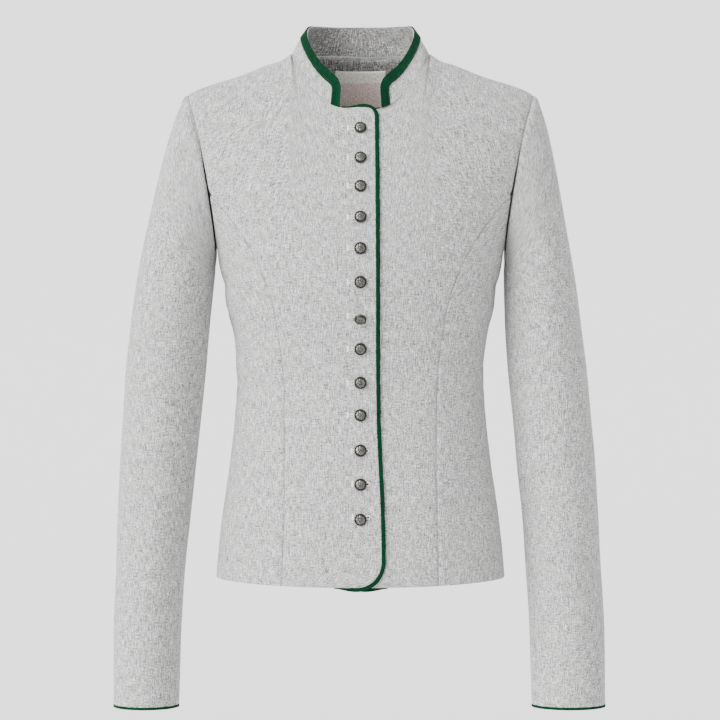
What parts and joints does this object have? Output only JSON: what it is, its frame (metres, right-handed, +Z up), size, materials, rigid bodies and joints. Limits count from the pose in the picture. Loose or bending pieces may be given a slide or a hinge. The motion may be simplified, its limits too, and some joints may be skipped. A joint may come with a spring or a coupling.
{
  "type": "women's folk-dress jacket",
  "caption": "Waist-length jacket of grey felted wool with a stand collar, buttoned front, set-in sleeves and green felt edging, in its hollow worn form.",
  "frame": {"origin": "on the mid-plane between the two shoulder lines, where the wearer's shoulders hold the jacket", "axes": "+X towards the wearer's left, -Y out of the front, +Z up"},
  "size_m": [0.519, 0.2279, 0.7242],
  "materials": {
    "grey_wool": "felted light grey melange wool, matt with a short nap",
    "green_felt": "dense dark green wool felt, matt",
    "woven_label": "plain woven cream and rose label, bare",
    "old_pewter": "domed button, antique pewter, darker in its hollows"
  },
  "bodies": {
    "root": {"back_centre": "grey_wool", "back_left_side": "grey_wool", "back_right_side": "grey_wool", "button_01": "old_pewter", "button_02": "old_pewter", "button_03": "old_pewter", "button_04": "old_pewter", "button_05": "old_pewter", "button_06": "old_pewter", "button_07": "old_pewter", "button_08": "old_pewter", "button_09": "old_pewter", "button_10": "old_pewter", "button_11": "old_pewter", "button_12": "old_pewter", "button_13": "old_pewter", "collar_band": "green_felt", "collar_stand": "grey_wool", "edging_cuff_left": "green_felt", "edging_cuff_right": "green_felt", "edging_front_left": "green_felt", "edging_front_right": "green_felt", "front_left_centre": "grey_wool", "front_left_side": "grey_wool", "front_right_centre": "grey_wool", "front_right_side": "grey_wool", "label": "woven_label", "neck_facing": "grey_wool", "sleeve_left_under": "grey_wool", "sleeve_left_upper": "grey_wool", "sleeve_right_under": "grey_wool", "sleeve_right_upper": "grey_wool"}
  },
  "joints": []
}
